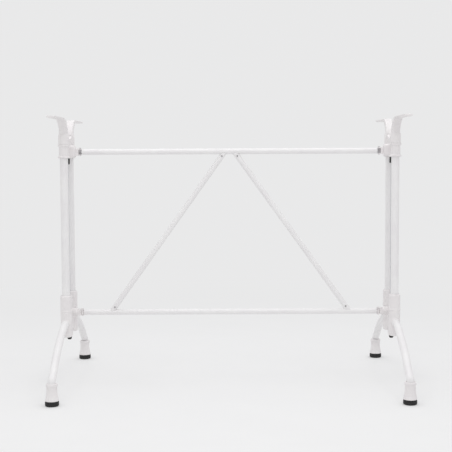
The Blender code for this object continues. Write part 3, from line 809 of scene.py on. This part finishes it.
def thread_profile():
    """Stem profile, in mm, with a flat crest and a flat groove for each turn of the thread."""
    profile = [(0.3, STEM_FOOT)]
    for number in range(THREAD_TURNS):
        start = STEM_FOOT + THREAD_PITCH * number
        profile += [(CREST_R, start + 0.2), (CREST_R, start + 0.35),
                    (GROOVE_R, start + 0.8), (GROOVE_R, start + 0.9)]
    return profile + [(0.3, STEM_TOP)]


def in_metres(profile):
    """The same profile in metres."""
    return [(radius * MM, height * MM) for radius, height in profile]


for side, end in SIDES:
    for facing, where in FACINGS:
        label, centre = f"{where}_{end}", (side * COLUMN_X, facing * FOOT_Y, 0.0)
        socket = turn(rounded(in_metres(SOCKET), 1.2 * MM, closed=True), centre, hollow=True)
        finish_piece("foot_socket_" + label, socket, cast_coat, "end_" + end,
                     ["boot_" + label])
        pad = turn(rounded(in_metres(PAD), 0.8 * MM), centre)
        finish_piece("rubber_pad_" + label, pad, pad_rubber, "foot_" + label,
                     ["glide_pad_" + label])
        stem = turn(in_metres(thread_profile()), centre, steps=32)
        finish_piece("threaded_stem_" + label, stem, zinc_plate, "foot_" + label,
                     ["glide_stem_" + label])
print("pad diameter, mm:", 2 * max(radius for radius, height in PAD))

# %% [markdown]
# ## Tie rods and their nuts
# A steel rod runs between the two columns from head to hub, and a nut below the hub tightens it. The nut
# is a black hexagon with a dome, so that nobody's shin meets a bare thread. A plain round nut of the same
# black nylon sits right under the head; its black is also painted shade, the deep shade under the head's web.

# %% Tie rods and nuts
# radius and height, in mm
BAR = ((0.3, 118.2), (4.0, 118.2), (4.0, 650.0), (0.3, 650.0))
DOME = ((0.3, 114.2), (4.5, 115.0), (6.1, 117.2), (6.4, 120.4), (4.4, 120.4), (4.4, 117.8), (0.3, 117.8))
COLLAR = ((6.3, 120.2), (7.4, 120.8), (7.4, 126.2), (6.8, 126.6), (4.4, 126.6), (4.4, 120.2))
SHADE_NUT = ((7.2, 603.0), (8.2, 604.0), (8.2, 618.5), (7.2, 619.5), (4.3, 619.5), (4.3, 603.0))
for side, end in SIDES:
    centre = (side * COLUMN_X, 0.0, 0.0)
    bar = turn(rounded(in_metres(BAR), 0.5 * MM), centre, steps=32)
    finish_piece("tie_bar_" + end, bar, zinc_plate, "end_" + end, ["tie_rod_" + end])
    hexagon = turn(in_metres(COLLAR), centre, steps=6, hollow=True)
    nut = combine(turn(rounded(in_metres(DOME), 0.8 * MM), centre, steps=48), [hexagon])
    finish_piece("dome_nut_" + end, nut, cap_nylon, "end_" + end, ["cap_nut_" + end],
                 30.0)
    # The black of this nut is partly the nut's own colour and partly painted shade under the head.
    shade_nut = rounded(in_metres(SHADE_NUT), 0.6 * MM, closed=True)
    finish_piece("shade_nut_" + end, turn(shade_nut, centre, steps=48, hollow=True), cap_nylon,
                 "end_" + end, ["lock_nut_" + end], 30.0)
print("tie bars: 2")

# %% [markdown]
# ## The studio
# The underframe stands on a white paper floor in a bright, even room. The floor fades into the colour of
# the air a few metres away, measured from the middle of the object, so that no horizon cuts the picture.

# %% Floor
AIR = 0.815
AIR_COLOUR = (AIR, AIR, AIR * 1.004, 1.0)
FLOOR_RADIUS = 60.0
floor_finish, output = start_material("white_studio_paper")
place = add_node(floor_finish, "ShaderNodeTexCoord")
fibre = add_node(floor_finish, "ShaderNodeTexNoise", {"Scale": 6.0, "Detail": 5.0},
                 {"Vector": (place, "Object")})
paper_tone = add_node(floor_finish, "ShaderNodeValToRGB", {}, {"Fac": (fibre, "Fac")})
paper_tone.color_ramp.elements[0].color = colour("#ECECEC")
paper_tone.color_ramp.elements[1].color = colour("#F0F0F0")
paper = add_node(floor_finish, "ShaderNodeBsdfPrincipled", {"Roughness": 0.9, "IOR": 1.45},
                 {"Base Color": (paper_tone, "Color")})
reach = add_node(floor_finish, "ShaderNodeVectorMath", {"operation": "LENGTH"}, {0: (place, "Object")})
fade = add_node(floor_finish, "ShaderNodeMapRange", {"interpolation_type": "SMOOTHSTEP", "From Min": 0.6,
                "From Max": 2.2, "To Min": 0.30}, {"Value": (reach, "Value")})
air = add_node(floor_finish, "ShaderNodeEmission", {"Color": AIR_COLOUR, "Strength": 1.0})
mixed = add_node(floor_finish, "ShaderNodeMixShader", {}, {0: (fade, "Result"), 1: (paper, 0), 2: (air, 0)})
finish_material(floor_finish, output, mixed)
disc = bmesh.new()
bmesh.ops.create_circle(disc, cap_ends=True, segments=96, radius=FLOOR_RADIUS)
floor_mesh = bpy.data.meshes.new("studio_floor")
disc.to_mesh(floor_mesh)
disc.free()
floor_mesh.materials.append(floor_finish)
studio_floor = bpy.data.objects.new("studio_floor", floor_mesh)
studio_floor.location = (0.0, 0.0, -0.2 * MM)
bpy.context.scene.collection.objects.link(studio_floor)
studio_floor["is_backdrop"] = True
print("floor radius, metres:", FLOOR_RADIUS)

# %% [markdown]
# ## Light
# The room itself gives most of the light: pale all round and brighter overhead. One broad soft lamp overhead
# makes the tops of the rods shine, and another high in front keeps the faces from going grey.

# %% Room light and lamps
room = bpy.data.worlds.new("bright_room")
bpy.context.scene.world = room
room.use_nodes = True
room.node_tree.nodes.clear()
room_output = room.node_tree.nodes.new("ShaderNodeOutputWorld")
sky_place = add_node(room, "ShaderNodeTexCoord")
sky_parts = add_node(room, "ShaderNodeSeparateXYZ", {}, {0: (sky_place, "Generated")})
sky_rise = add_node(room, "ShaderNodeMapRange", {"interpolation_type": "SMOOTHSTEP", "From Min": 0.10,
                    "From Max": 0.85, "To Min": 0.0, "To Max": 1.0}, {"Value": (sky_parts, "Z")})
sky_tone = add_node(room, "ShaderNodeValToRGB", {}, {"Fac": (sky_rise, "Result")})
sky_tone.color_ramp.elements[0].color = AIR_COLOUR
sky_tone.color_ramp.elements[1].color = (0.95, 0.95, 0.96, 1.0)
sky = add_node(room, "ShaderNodeBackground", {"Strength": 0.86}, {"Color": (sky_tone, "Color")})
backdrop = add_node(room, "ShaderNodeBackground", {"Color": AIR_COLOUR, "Strength": 1.0})
seen = add_node(room, "ShaderNodeLightPath")
both = add_node(room, "ShaderNodeMixShader", {}, {0: (seen, "Is Camera Ray"), 1: (sky, 0), 2: (backdrop, 0)})
room.node_tree.links.new(both.outputs[0], room_output.inputs["Surface"])


def soft_lamp(name, place, aim, size, power):
    """Square soft box that points at a spot."""
    lamp = bpy.data.lights.new(name, "AREA")
    lamp.shape = "SQUARE"
    lamp.size = size
    lamp.energy = power
    holder = bpy.data.objects.new(name, lamp)
    holder.location = place
    holder.rotation_euler = (Vector(aim) - Vector(place)).to_track_quat("-Z", "Y").to_euler()
    bpy.context.scene.collection.objects.link(holder)
    return holder


soft_lamp("overhead_soft_box", (0.0, -0.2, 2.8), (0.0, 0.0, 0.3), 2.4, 20.0)
soft_lamp("front_soft_box", (0.0, -3.2, 2.2), (0.0, 0.0, 0.4), 1.6, 13.0)

# %% [markdown]
# ## Camera
# The camera stands about 2.8 m in front, as high as the upper rod, and looks down by four degrees. Its long
# lens keeps the columns upright. The picture is square.

# %% Camera
FOCAL_MM = 81.239
STANDPOINT = (-0.0085, -2.826, 0.628)
PAN, TILT, ROLL = 0.00082, -0.0699, 0.00495
lens = bpy.data.cameras.new("studio_camera")
lens.sensor_width = 36.0
lens.lens = FOCAL_MM
lens.clip_end = 200.0
camera = bpy.data.objects.new("studio_camera", lens)
turn_head = Matrix.Rotation(PAN, 3, "Z") @ Matrix.Rotation(TILT, 3, "X") @ Matrix.Rotation(ROLL, 3, "Y")
right, forward, up = turn_head.col[0], turn_head.col[1], turn_head.col[2]
facing_scene = Matrix((right, up, -forward)).transposed().to_4x4()
camera.matrix_world = Matrix.Translation(STANDPOINT) @ facing_scene
bpy.context.scene.collection.objects.link(camera)
bpy.context.scene.camera = camera
bpy.context.scene.view_settings.view_transform = "Standard"
print("lens, mm:", round(lens.lens, 1))

# %% [markdown]
# ## Close
# The last cell prints the size of the finished model.

# %% Size of the finished model
bpy.context.view_layer.update()
low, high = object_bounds()
print("visual box, metres:", [round(b - a, 4) for a, b in zip(low, high)])
